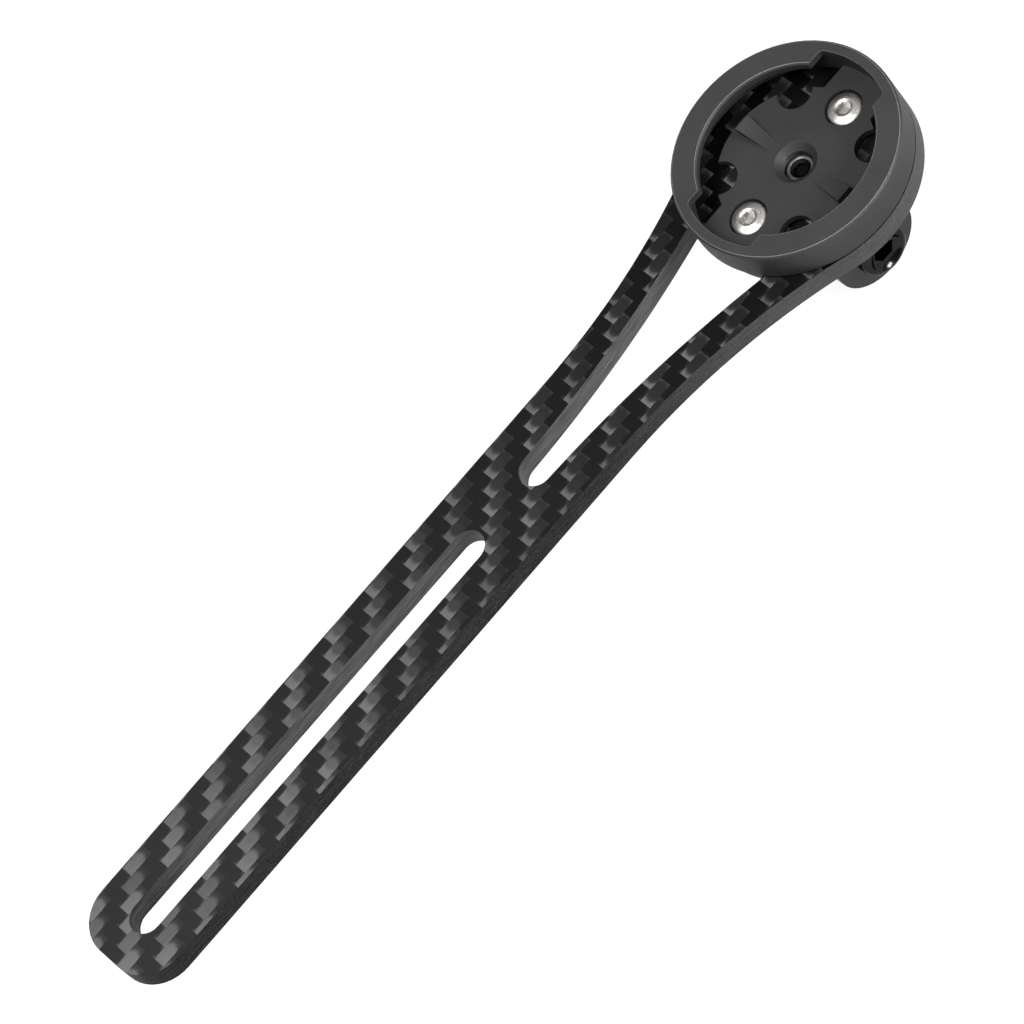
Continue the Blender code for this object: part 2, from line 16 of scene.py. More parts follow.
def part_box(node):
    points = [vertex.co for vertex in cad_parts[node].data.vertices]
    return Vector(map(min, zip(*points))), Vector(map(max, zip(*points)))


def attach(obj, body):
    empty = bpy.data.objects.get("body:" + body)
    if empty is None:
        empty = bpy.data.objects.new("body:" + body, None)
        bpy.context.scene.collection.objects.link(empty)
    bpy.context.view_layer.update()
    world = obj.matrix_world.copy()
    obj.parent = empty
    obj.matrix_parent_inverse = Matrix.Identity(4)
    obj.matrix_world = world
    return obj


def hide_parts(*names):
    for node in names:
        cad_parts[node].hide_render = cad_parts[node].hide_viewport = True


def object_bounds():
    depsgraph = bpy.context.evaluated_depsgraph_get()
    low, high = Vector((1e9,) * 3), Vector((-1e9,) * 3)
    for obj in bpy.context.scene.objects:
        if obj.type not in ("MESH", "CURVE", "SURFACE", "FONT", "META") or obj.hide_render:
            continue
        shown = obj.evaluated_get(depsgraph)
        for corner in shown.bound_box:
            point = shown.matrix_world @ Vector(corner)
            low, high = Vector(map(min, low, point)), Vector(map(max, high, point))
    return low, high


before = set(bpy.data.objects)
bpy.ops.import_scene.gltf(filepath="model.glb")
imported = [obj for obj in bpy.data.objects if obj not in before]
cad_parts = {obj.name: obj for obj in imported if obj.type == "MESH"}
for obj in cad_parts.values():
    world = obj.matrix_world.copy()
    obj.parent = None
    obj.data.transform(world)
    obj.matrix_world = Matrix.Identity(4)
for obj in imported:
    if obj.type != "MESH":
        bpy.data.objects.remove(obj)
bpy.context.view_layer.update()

# %% [markdown]
# ## Where things are
#
# Every place is read from the frame, so a piece stays where it belongs when a size changes.
# The seat's ring gives the head's centre, and the two heights that matter most are the arm's
# top face and the seat's floor, where the two bright screws sit.

# %% Read the places that the pieces share
MM = 0.001
arm_low, arm_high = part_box("arm_plate")
seat_low, seat_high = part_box("quarter_turn_seat")
HEAD = Vector(((seat_low.x + seat_high.x) / 2, (seat_low.y + seat_high.y) / 2, 0.0))
print("head centre in mm:", [round(v * 1000, 2) for v in HEAD])

# %% [markdown]
# ## Camera
#
# The view is from high on the right of the arm, with a long lens and the camera rolled, so
# that the arm runs from the lower left to the upper right of the picture. A long lens from
# almost a metre away keeps the two ends of the arm nearly the same size.

# %% Place the camera
AIM = Vector((1.85, 0.47, 0.0)) * MM
AZIMUTH, ELEVATION, ROLL = math.radians(83.16), math.radians(53.41), math.radians(-43.42)
DISTANCE = 0.873
LENS = 211.2


def camera_axes(azimuth, elevation, roll):
    """The camera's right, up and backward directions."""
    back = Vector((math.sin(azimuth) * math.cos(elevation),
                   -math.cos(azimuth) * math.cos(elevation), math.sin(elevation)))
    level = Vector((math.cos(azimuth), math.sin(azimuth), 0.0))
    turn = Matrix.Rotation(roll, 3, back)
    return turn @ level, turn @ back.cross(level), back


right, up, back = camera_axes(AZIMUTH, ELEVATION, ROLL)
bpy.ops.object.camera_add(location=AIM + DISTANCE * back)
camera = bpy.context.object
camera.rotation_euler = Matrix((right, up, back)).transposed().to_euler()
camera.data.lens, camera.data.sensor_width = LENS, 36.0
camera.data.clip_start, camera.data.clip_end = 0.01, 20.0
bpy.context.scene.camera = camera
print("camera at", [round(v, 3) for v in camera.location])

# %% [markdown]
# ## Colour and nodes
#
# Paint charts give colours as hex codes in sRGB, but shaders work in linear light, so one
# function turns the first into the second. A second function adds any shader node with its
# settings and links, which keeps a long recipe readable.

# %% Helpers for materials


def linear(code):
    """An sRGB hex colour as linear RGBA."""
    parts = [int(code[i:i + 2], 16) / 255 for i in (1, 3, 5)]
    return [c / 12.92 if c <= 0.04045 else ((c + 0.055) / 1.055) ** 2.4 for c in parts] + [1.0]


def put(tree, kind, *values, named=(), stops=(), **settings):
    """Add a node. values fill its sockets in order and named fills them by name, each with a
    number, a node or an output. stops are a colour ramp's marks: position, colour, position
    and so on."""
    made = tree.nodes.new("ShaderNode" + kind)
    for key, value in settings.items():
        setattr(made, key, value)
    for key, value in [*enumerate(values), *dict(named).items()]:
        if isinstance(value, bpy.types.Node):
            value = value.outputs[0]
        if isinstance(value, bpy.types.NodeSocket):
            tree.links.new(value, made.inputs[key])
        else:
            made.inputs[key].default_value = value
    if stops:
        for mark, position, code in zip(made.color_ramp.elements, stops[::2], stops[1::2]):
            mark.position, mark.color = position, linear(code)
    return made


def new_material(name):
    """A material with an empty node tree."""
    made = bpy.data.materials.new(name)
    made.use_nodes = True
    made.node_tree.nodes.clear()
    return made, made.node_tree


print("white is", linear("#ffffff")[:3])

# %% [markdown]
# ## Carbon-fibre twill
#
# The arm is cut from a laminate whose outer ply is a 2/2 twill: each tow passes over two and
# under two, and each row steps sideways by one, so the weave climbs in diagonals. A tow here is
# 2.1 mm wide. Its filaments mirror light only across their length, so a float shines as a whole
# or stays black, and its ends, which dive under the next tow, shine where the flat does not.
#
# The pattern is worked out from position, for both sets of tows at once: the X part of each
# vector node is about the tows that run along X, and the Y part about those along Y. One node
# says how far round the repeat of four each point is, which gives the tow that is on top and the
# place along its float. The float's slope then tilts the shading normal. A satin lacquer lies
# over it all, glossiest at the arm's end and rubbed flatter towards the head.

# %% Twill sizes
REPEAT = 4                                         # tows in the weave's repeat
TOW = Vector((2.145, 2.2295, 0.0)) * MM            # width of the tows along the arm, and across it
TWILL_CORNER = Vector((-6.734, 11.39, 0.0)) * MM   # one corner of the repeat
END_RISE = 1.60 * MM                               # a float bends down over this last stretch
END_SLOPE = 0.155                                  # and this steeply at its very end
END_CURVE = 1.5                                    # the power by which the slope grows
END_ROUND = 0.36                                   # of that stretch: its long edges bend so early
CROWN = 0.05                                       # slope at a tow's two long edges
WANDER, WANDER_SPAN = 0.07 * MM, 9 * MM            # how far tows stray, and over what length
STREAKS = (0.6, 11)                                # streaks to a tow, along it and across it
print("twill repeat in mm:", [round(REPEAT * size / MM, 2) for size in TOW.xy])

# %% Twill tones and lacquer
# the floats along Y are painted lighter than those along X: painted light and painted shade for how
# each set of the same fibre catches the main box
WEFT_BLACK_PAINTED_SHADE, WARP_BLACK_PAINTED_LIGHT = ("#121212", "#1f1f1f"), ("#2a2a2a", "#464646")
PLAIN_TONE, STREAK_TONE, FLOAT_TONE = 0.2, 0.3, 0.35   # what every point, streak and float adds
FIBRE_ROUGH, FIBRE_SPREAD = 0.27, 0.08                 # roughness, and what a streak adds to it
GLOSSY, FLATTED = (-70 * MM, 0.72), (50 * MM, 0.2)     # place along the arm, and coat weight there
print("the lacquer thins over", round((FLATTED[0] - GLOSSY[0]) / MM), "mm of the arm")

# %% Twill material


def make_twill():
    """The 2/2 twill: which tow is on top, how it slopes, and how its filaments shine."""
    made, tree = new_material("twill_carbon_under_satin_lacquer")
    spot = put(tree, "TexCoord").outputs["Object"]
    drift = put(tree, "TexNoise", named={"Vector": spot, "Scale": 1 / WANDER_SPAN, "Detail": 1.0})
    spot = put(tree, "VectorMath", drift.outputs["Color"], [2 * WANDER] * 3, spot,
               operation="MULTIPLY_ADD")
    corner = TWILL_CORNER + Vector([WANDER] * 3)
    place = put(tree, "VectorMath", spot, corner, operation="SUBTRACT")
    place = put(tree, "VectorMath", place, (TOW.x, TOW.y, 1.0), operation="DIVIDE")
    cell = put(tree, "VectorMath", place, operation="FLOOR")
    column_row = put(tree, "SeparateXYZ", cell)
    row_column = put(tree, "CombineXYZ", column_row.outputs[1], column_row.outputs[0])
    turns = put(tree, "VectorMath", place, row_column, operation="ADD")
    turns = put(tree, "VectorMath", turns, (1 / REPEAT, 1 / REPEAT, 0.0), operation="MULTIPLY")
    along = put(tree, "VectorMath", turns, operation="FRACTION")
    # the tow along Y is on top for the first half of its repeat, and that along X for the rest
    warp = put(tree, "Math", put(tree, "SeparateXYZ", along).outputs[1], 0.5, operation="LESS_THAN")
    weft = put(tree, "Math", 1.0, warp, operation="SUBTRACT")
    across = put(tree, "CombineXYZ", warp, weft)   # the direction across the filaments
    # 1 at one long edge of a tow, 0 along its middle and -1 at the other long edge
    side = put(tree, "VectorMath", put(tree, "VectorMath", place, operation="FRACTION"),
               (-2, -2, 0), (1, 1, 0), operation="MULTIPLY_ADD")
    # slope along the float: up from one end, flat, and down to the other end, where the tow's
    # long edges dive a little before its middle does
    edges = put(tree, "SeparateXYZ", put(tree, "VectorMath", side, side, operation="MULTIPLY"))
    edges = put(tree, "CombineXYZ", edges.outputs[1], edges.outputs[0])
    reach = put(tree, "VectorMath", edges, [END_ROUND] * 3, (1, 1, 0), operation="MULTIPLY_ADD")
    from_start = put(tree, "VectorMath", along, (0.5, 0.0, 0.0), operation="SUBTRACT")
    from_start = put(tree, "VectorMath", from_start, REPEAT * TOW, operation="MULTIPLY")
    from_end = put(tree, "VectorMath", REPEAT / 2 * TOW, from_start, operation="SUBTRACT")
    bends = []
    for distance in (from_start, from_end):
        bend = put(tree, "VectorMath", distance, [-1 / END_RISE] * 3, reach, operation="MULTIPLY_ADD")
        bend = put(tree, "VectorMath", bend, (0, 0, 0), operation="MAXIMUM")
        bends.append(put(tree, "VectorMath", bend, (END_CURVE, END_CURVE, 1.0), operation="POWER"))
    ends = put(tree, "VectorMath", *bends, operation="SUBTRACT")
    ends = put(tree, "VectorMath", ends, [END_SLOPE] * 3, operation="MULTIPLY")
    # slope across the tow: up at one long edge and down at the other
    crown = put(tree, "VectorMath", side, side, operation="MULTIPLY")
    crown = put(tree, "VectorMath", crown, side, operation="MULTIPLY")
    crown = put(tree, "VectorMath", crown, [CROWN] * 3, operation="MULTIPLY")
    slope = put(tree, "Mix", named={1: across, 4: ends, 5: crown}, data_type="VECTOR",
                factor_mode="NON_UNIFORM")
    face = put(tree, "NewGeometry").outputs["Normal"]
    normal = put(tree, "VectorMath", face, slope.outputs[1], operation="SUBTRACT")
    normal = put(tree, "VectorMath", normal, operation="NORMALIZE")
    # filaments: streaks along each tow, drawn a fifth of a millimetre apart so that they show
    few, many = [(count, count, 0) for count in STREAKS]
    fineness = put(tree, "Mix", named={1: across, 4: few, 5: many}, data_type="VECTOR",
                   factor_mode="NON_UNIFORM")
    flow = put(tree, "VectorMath", place, fineness.outputs[1], operation="MULTIPLY")
    streak = put(tree, "TexNoise", named={
        "Vector": flow, "Scale": 1.0, "Detail": 3.0, "Roughness": 0.6})
    # each float has its own tone, because its filaments lie at their own slight angle
    whole = put(tree, "VectorMath", turns, operation="FLOOR")
    tile = put(tree, "Mix", named={1: across, 4: whole, 5: cell}, data_type="VECTOR",
               factor_mode="NON_UNIFORM")
    shade = put(tree, "TexWhiteNoise", tile.outputs[1], noise_dimensions="2D")
    tone = put(tree, "Math", shade, FLOAT_TONE, PLAIN_TONE, operation="MULTIPLY_ADD")
    tone = put(tree, "Math", streak, STREAK_TONE, tone, operation="MULTIPLY_ADD")
    # painted light on the floats along Y, painted shade on those along X
    colours = [put(tree, "ValToRGB", tone, stops=(0.25, dark, 0.65, light))
               for dark, light in (WEFT_BLACK_PAINTED_SHADE, WARP_BLACK_PAINTED_LIGHT)]
    colour = put(tree, "Mix", named={0: warp, 6: colours[0], 7: colours[1]}, data_type="RGBA")
    rough = put(tree, "Math", streak, FIBRE_SPREAD, FIBRE_ROUGH, operation="MULTIPLY_ADD")
    ahead = put(tree, "SeparateXYZ", spot).outputs[1]
    lacquer = put(tree, "MapRange", ahead, GLOSSY[0], FLATTED[0], GLOSSY[1], FLATTED[1])
    shader = put(tree, "BsdfPrincipled", named={
        "Base Color": colour.outputs[2], "Metallic": 1.0, "Roughness": rough, "Normal": normal,
        "Tangent": across, "Anisotropic": 1.0, "Coat Weight": lacquer, "Coat Roughness": 0.45})
    put(tree, "OutputMaterial", shader)
    return made


TWILL = make_twill()
print("twill nodes:", len(TWILL.node_tree.nodes))

# %% [markdown]
# ## Cut edges of the laminate
#
# A milled edge of the plate shows the laminate's plies end on, as fine lines that run along the edge,
# a quarter of a millimetre apart. The slot and the vee keep that bare, slightly silvery milled face,
# painted darker towards the slot's far end as painted shade. The outer edge was sanded and sealed
# with resin, so it is darker and more even, and it is painted lighter on the flare towards the head,
# painted light where the side light falls.

# %% Milled and sealed edge materials
PLY = 0.25 * MM
FRAY = 0.05           # a ply's line changes this much as fast along the edge as across it
DUST_SPECK = 0.2 * MM
BARE_TONE = 0.95      # the tone at which the edge is at its lightest
# painted light: the sealed outline is painted lighter towards the head, on the flare
HEAD_END_PAINTED_LIGHT = (12 * MM, 50 * MM, 0.0, 0.24)      # from, to, and the tone added at each
# painted shade: the milled walls are painted darker towards the slot's far end
SLOT_END_PAINTED_SHADE = (-84 * MM, -66 * MM, -0.18, 0.05)


def make_edge(name, dark, light, lines, sealed, shift, rough, grain, specular):
    """Plies seen end on: lines of constant height that fray a little along the edge. lines is their
    share of the tone, sealed the tone below which resin hides them, and shift how the tone changes
    along the arm, as painted light or painted shade."""
    made, tree = new_material(name)
    spot = put(tree, "TexCoord").outputs["Object"]
    stretched = put(tree, "Mapping", spot, named={"Scale": (FRAY / PLY, FRAY / PLY, 1.0 / PLY)})
    plies = put(tree, "TexNoise", named={
        "Vector": stretched, "Scale": 1.0, "Detail": 4.0, "Roughness": 0.7})
    speck = put(tree, "TexNoise", named={"Vector": spot, "Scale": 1 / DUST_SPECK, "Detail": 2.0})
    tone = put(tree, "Math", speck, 1 - lines, operation="MULTIPLY")
    tone = put(tree, "Math", plies, lines, tone, operation="MULTIPLY_ADD")
    ahead = put(tree, "SeparateXYZ", spot).outputs[1]
    # painted light and painted shade along the arm
    tone = put(tree, "Math", tone, put(tree, "MapRange", ahead, *shift), operation="ADD")
    colour = put(tree, "ValToRGB", tone, stops=(sealed, dark, BARE_TONE, light))
    relief = put(tree, "Bump", named={"Height": tone, "Strength": 1.0, "Distance": grain})
    gloss = put(tree, "Math", speck, 0.15, rough, operation="MULTIPLY_ADD")
    shader = put(tree, "BsdfPrincipled", named={
        "Base Color": colour, "Roughness": gloss, "Normal": relief, "Specular IOR Level": specular})
    put(tree, "OutputMaterial", shader)
    return made


MILLED = make_edge("milled_laminate_edge", "#0a0a0a", "#686868", lines=0.85, sealed=0.36,
                   shift=SLOT_END_PAINTED_SHADE, rough=0.45, grain=0.03 * MM, specular=0.25)
SEALED = make_edge("resin_sealed_laminate_edge", "#0e0e0e", "#4c4c4c", lines=0.5, sealed=0.45,
                   shift=HEAD_END_PAINTED_LIGHT, rough=0.45, grain=0.005 * MM, specular=0.08)
print("plies through the arm:", round((arm_high.z - arm_low.z) / PLY))

# %% [markdown]
# ## Moulded nylon
#
# The seat is glass-filled nylon from a mould whose steel was spark-eroded: its skin is a fine matt
# grain of under a fifth of a millimetre that scatters light evenly, and it is painted a little
# lighter where it stands high, painted light that leaves its recessed floor in painted shade. A thin
# line along its rim is painted lighter, a painted highlight. The bracket comes from a finer mould, so
# its skin is satin.

# %% Nylon materials
MOULD_PATCH = 9 * MM   # broad uneven patches from the mould
SEAT_TOP_PAINTED_LIGHT = 0.35         # the tone of painted light added at the seat's top


def make_nylon(name, dark, light, grain, depth, rough, spread, specular):
    """Moulded black nylon with a grain of that size and depth, with painted light that makes it
    lighter towards the top.
    """
    made, tree = new_material(name)
    spot = put(tree, "TexCoord").outputs["Object"]
    fine = put(tree, "TexNoise", named={
        "Vector": spot, "Scale": 1 / grain, "Detail": 3.0, "Roughness": 0.6})
    broad = put(tree, "TexNoise", named={"Vector": spot, "Scale": 1 / MOULD_PATCH, "Detail": 2.0})
    height = put(tree, "SeparateXYZ", spot).outputs[2]
    # painted light: lighter towards the seat's top, leaving its recessed floor in painted shade
    painted_top_light = put(tree, "MapRange", height, seat_low.z, seat_high.z, 0.0, SEAT_TOP_PAINTED_LIGHT)
    tone = put(tree, "Math", fine, 0.3, painted_top_light, operation="MULTIPLY_ADD")
    tone = put(tree, "Math", broad, 0.4, tone, operation="MULTIPLY_ADD")
    colour = put(tree, "ValToRGB", tone, stops=(0.25, dark, 0.75, light))
    relief = put(tree, "Bump", named={"Height": fine, "Strength": 1.0, "Distance": depth})
    gloss = put(tree, "Math", fine, spread, rough, operation="MULTIPLY_ADD")
    shader = put(tree, "BsdfPrincipled", named={
        "Base Color": colour, "Roughness": gloss, "Normal": relief, "Specular IOR Level": specular})
    put(tree, "OutputMaterial", shader)
    return made


MATT_NYLON = make_nylon("spark_grained_black_nylon", "#080808", "#252525", grain=0.16 * MM,
                        depth=0.02 * MM, rough=0.5, spread=0.2, specular=0.4)
# painted highlight: a lighter nylon for the thin line along the ring's top edges
NYLON_PAINTED_RIM_HIGHLIGHT = make_nylon("black_nylon_painted_rim_highlight", "#404040", "#5c5c5c", grain=0.16 * MM,
                          depth=0.008 * MM, rough=0.36, spread=0.2, specular=0.5)
SATIN_NYLON = make_nylon("satin_black_nylon", "#0b0b0b", "#171717", grain=0.3 * MM,
                         depth=0.01 * MM, rough=0.30, spread=0.15, specular=0.4)
print("nylons:", MATT_NYLON.name, NYLON_PAINTED_RIM_HIGHLIGHT.name, SATIN_NYLON.name)

# %% [markdown]
# ## Metals
#
# The seat's screws are cold-headed stainless steel with a satin skin and faint rings from the header.
# The centre and camera screws are carbon steel with a thin, bluish black oxide. The camera screw's is
# glossy with oil. The centre screw's is dry, and its rim is painted light grey, a painted highlight.
# The thread inserts are turned brass. Every metal piece keeps its upright coordinates in an
# attribute, so the rings run round its own axis wherever it ends up.

# %% Turned and coated metals
UPRIGHT = "upright"
RING, METAL_SPECK, BLOTCH = 0.12 * MM, 0.25 * MM, 1.6 * MM
METAL_SPREAD = 0.2   # how much rougher the light spots are than the dark ones


def make_metal(name, dark, light, rough, depth, oil=0.0, glance="#ffffff"):
    """A metal turned about its own upright axis, with rings, specks and broad blotches. oil is
    how much of it a glossy film of oil covers, and glance its tint seen at a glancing angle."""
    made, tree = new_material(name)
    own = put(tree, "Attribute", attribute_name=UPRIGHT).outputs["Vector"]
    flat = put(tree, "VectorMath", own, (1, 1, 0), operation="MULTIPLY")
    radius = put(tree, "VectorMath", flat, operation="LENGTH").outputs["Value"]
    rings = put(tree, "TexNoise", named={"W": radius, "Scale": 1 / RING, "Detail": 2.0},
                noise_dimensions="1D")
    speck = put(tree, "TexNoise", named={"Vector": own, "Scale": 1 / METAL_SPECK, "Detail": 3.0})
    blot = put(tree, "TexNoise", named={"Vector": own, "Scale": 1 / BLOTCH, "Detail": 2.0})
    tone = put(tree, "Math", blot, 0.3, operation="MULTIPLY")
    tone = put(tree, "Math", speck, 0.3, tone, operation="MULTIPLY_ADD")
    tone = put(tree, "Math", rings, 0.4, tone, operation="MULTIPLY_ADD")
    colour = put(tree, "ValToRGB", tone, stops=(0.35, dark, 0.65, light))
    relief = put(tree, "Bump", named={"Height": tone, "Strength": 1.0, "Distance": depth})
    gloss = put(tree, "Math", tone, METAL_SPREAD, rough, operation="MULTIPLY_ADD")
    shader = put(tree, "BsdfPrincipled", named={
        "Base Color": colour, "Roughness": gloss, "Normal": relief, "Metallic": 1.0,
        "Coat Weight": oil, "Coat Roughness": 0.06, "Specular Tint": linear(glance)})
    put(tree, "OutputMaterial", shader)
    return made


STAINLESS = make_metal("satin_stainless_steel", "#8c8a86", "#eceae6", 0.28, 0.03 * MM)
BLACK_OXIDE = make_metal("black_oxide_steel", "#101012", "#202023", 0.14, 0.008 * MM,
                         oil=0.35, glance="#303030")
DRY_OXIDE = make_metal("dry_black_oxide_steel", "#0e0e10", "#1c1c1e", 0.42, 0.008 * MM,
                       glance="#303030")
# painted highlight: a light grey steel for the centre screw's flat rim
STEEL_PAINTED_RIM_HIGHLIGHT = make_metal("steel_painted_rim_highlight", "#4c4c4c", "#787878", 0.34, 0.006 * MM)
BRASS = make_metal("turned_brass", "#9c7a38", "#c9a65a", 0.22, 0.01 * MM)
print("metals:", STAINLESS.name, BLACK_OXIDE.name, DRY_OXIDE.name, STEEL_PAINTED_RIM_HIGHLIGHT.name, BRASS.name)

# %% [markdown]
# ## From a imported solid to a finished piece
#
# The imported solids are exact, but their faces are loose triangles and their edges are sharp.
# The arm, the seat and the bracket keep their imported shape: a copy is merged, its flat faces
# are made whole, and its moulded edges get a small round. A real edge is never perfectly sharp,
# and that round is what catches a thin line of light.

# %% Helpers to pick, copy, round and finish
SMOOTH = math.radians(32)   # faces that meet more gently than this are shaded as one


def only(obj):
    """Select one object and make it active, with everything else deselected."""
    if bpy.context.object and bpy.context.object.mode != "OBJECT":
        bpy.ops.object.mode_set(mode="OBJECT")
    bpy.ops.object.select_all(action="DESELECT")
    obj.select_set(True)
    bpy.context.view_layer.objects.active = obj


def merged_copy(node, name):
    """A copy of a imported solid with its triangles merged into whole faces."""
    piece = bpy.data.objects.new(name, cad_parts[node].data.copy())
    bpy.context.scene.collection.objects.link(piece)
    only(piece)
    bpy.ops.mesh.customdata_custom_splitnormals_clear()
    bpy.ops.object.mode_set(mode="EDIT")
    bpy.ops.mesh.select_all(action="SELECT")
    bpy.ops.mesh.remove_doubles(threshold=0.002 * MM)
    bpy.ops.mesh.dissolve_limited(angle_limit=math.radians(0.5))
    bpy.ops.object.mode_set(mode="OBJECT")
    return piece


def round_edges(piece, width, segments, sharper_than):
    """Round the edges that are sharper than that angle, and keep the flats looking flat."""
    bevel = piece.modifiers.new("edges", "BEVEL")
    bevel.width, bevel.segments = width, segments
    bevel.limit_method, bevel.angle_limit = "ANGLE", math.radians(sharper_than)
    only(piece)
    bpy.ops.object.modifier_apply(modifier=bevel.name)
    bpy.ops.object.shade_smooth_by_angle(angle=SMOOTH)
    flats = piece.modifiers.new("flats", "WEIGHTED_NORMAL")
    flats.keep_sharp = True
    bpy.ops.object.modifier_apply(modifier=flats.name)


def finish_piece(piece, node, slot, body, *finishes, pick=None):
    """Give a piece its materials and put it in the frame in place of its node."""
    piece.data.materials.clear()
    for finish in finishes:
        piece.data.materials.append(finish)
    for face in piece.data.polygons:
        face.material_index = pick(face) if pick else 0
    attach(piece, body)
    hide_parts(node)
    print(piece.name, "has", len(piece.data.polygons), "faces")


# %% [markdown]
# ## The arm
#
# One flat plate, 3.6 mm thick. Its top and bottom show the twill, and its walls show the cut
# laminate. Which wall is which follows from the direction that it faces: a wall that looks
# away from the arm's centre line is the sealed outline, and one that looks back towards it
# belongs to the slot or the vee.

# %% Finish the arm
END_CAP = 5.0 * MM   # the outline's rounded end, short of the slot


def arm_finish(face):
    """0 for twill, 1 for the sealed outline and 2 for the milled slot and vee."""
    away = face.normal.x * face.center.x > 0 or face.center.y > HEAD.y
    end_cap = face.center.y < arm_low.y + END_CAP
    return 0 if abs(face.normal.z) > 0.9 else 1 if away or end_cap else 2


arm = merged_copy("arm_plate", "carbon_arm")
bpy.ops.object.shade_smooth_by_angle(angle=SMOOTH)
finish_piece(arm, "arm_plate", "carbon_twill", "mount", TWILL, SEALED, MILLED, pick=arm_finish)

# %% [markdown]
# ## The quarter-turn seat
#
# One nylon moulding: a ring with two notches that let the computer's tabs in, a floor with two
# shallow ramps and a dish between them, and two counterbores for the screws. All its sharp edges are
# rounded. The narrow round between the ring's top and its chamfers is painted lighter, a painted
# highlight.

# %% Finish the seat
SEAT_ROUND = 0.11 * MM
RIM_ZONE = 0.12 * MM   # the rounds with the painted highlight lie within this distance of the ring's top


def seat_finish(face):
    """1, the painted highlight, on the rounds along the ring's top edges and 0 elsewhere."""
    return int(0.8 < face.normal.z < 0.995 and face.center.z > seat_high.z - RIM_ZONE)


seat = merged_copy("quarter_turn_seat", "seat_moulding")
round_edges(seat, SEAT_ROUND, 2, sharper_than=40)
finish_piece(seat, "quarter_turn_seat", "moulded_nylon", "mount", MATT_NYLON, NYLON_PAINTED_RIM_HIGHLIGHT,
             pick=seat_finish)

# %% [markdown]
# ## The camera bracket
#
# Three fingers below a thick base, in the spacing that action cameras share. Its mould is finer
# than the seat's and gives it a satin skin and generous rounds.

# %% Finish the bracket
BRACKET_ROUND = 0.4 * MM
bracket = merged_copy("camera_bracket", "bracket_moulding")
round_edges(bracket, BRACKET_ROUND, 3, sharper_than=40)
finish_piece(bracket, "camera_bracket", "gloss_nylon", "mount", SATIN_NYLON)

# %% [markdown]
# ## How the fasteners are made
#
# Every screw, nut and insert here is round about one axis, so each is built upright on the
# origin and moved to its place at the end. A turned body starts as a disc that is extruded ring
# by ring. A thread starts as one V tooth, which the Screw modifier winds into a long bar, and a
# plain rod trims that bar to length and gives it its chamfered tip. Booleans then join the
# head, cut the hexagon socket and tap the holes.

# %% Turned bodies and Booleans


def turned(name, *rings, steps=48, knurl=1.0):
    """A closed body turned about Z, from (radius, height) rings. knurl draws in every second
    corner, to that share of its radius."""
    bpy.ops.object.select_all(action="DESELECT")
    radius, height = rings[0]
    bpy.ops.mesh.primitive_circle_add(vertices=steps, radius=radius, fill_type="NGON",
                                      location=(0, 0, height))
    piece = bpy.context.object
    piece.name = piece.data.name = name
    bpy.ops.object.transform_apply(location=True, rotation=True, scale=True)
    for corner in piece.data.vertices:
        corner.co.xy *= knurl if corner.index % 2 else 1.0
    bpy.ops.object.mode_set(mode="EDIT")
    bpy.ops.mesh.select_all(action="SELECT")
    for (r0, z0), (r1, z1) in zip(rings, rings[1:]):
        bpy.ops.mesh.extrude_region_move(TRANSFORM_OT_translate={"value": (0, 0, z1 - z0)})
        bpy.ops.transform.resize(value=(r1 / r0, r1 / r0, 1), center_override=(0, 0, z1))
    bpy.ops.mesh.select_all(action="SELECT")
    bpy.ops.mesh.normals_make_consistent(inside=False)
    bpy.ops.object.mode_set(mode="OBJECT")
    return piece


def combine(piece, tool, operation):
    """Join, cut or trim a piece with a tool, which is used up."""
    change = piece.modifiers.new("shape", "BOOLEAN")
    change.object, change.operation, change.solver = tool, operation, "EXACT"
    only(piece)
    bpy.ops.object.modifier_apply(modifier=change.name)
    bpy.data.objects.remove(tool)


def hexagon(across_flats, low, high):
    """A hexagonal prism on Z with two of its corners on the Y axis."""
    corner = across_flats / math.sqrt(3)
    return turned("hexagon", (corner, low), (corner, high), steps=6)


print("ready to turn and join")

# %% [markdown]
# A metric thread's flanks stand at 60 degrees, and its depth is 0.61 of its pitch. The V tooth
# is a four-cornered circle stood on edge, with the corner towards the axis taken away.

# %% Threads
THREAD_DEPTH = 0.61     # of the pitch
THREADS = {"M2.5": (1.25 * MM, 0.45 * MM), "M3": (1.5 * MM, 0.5 * MM), "M5": (2.5 * MM, 0.8 * MM)}
TAP_SPARE = 0.1 * MM    # a tapped hole is this much wider all round than its screw
TURN_STEPS = 24         # steps to each turn of a thread


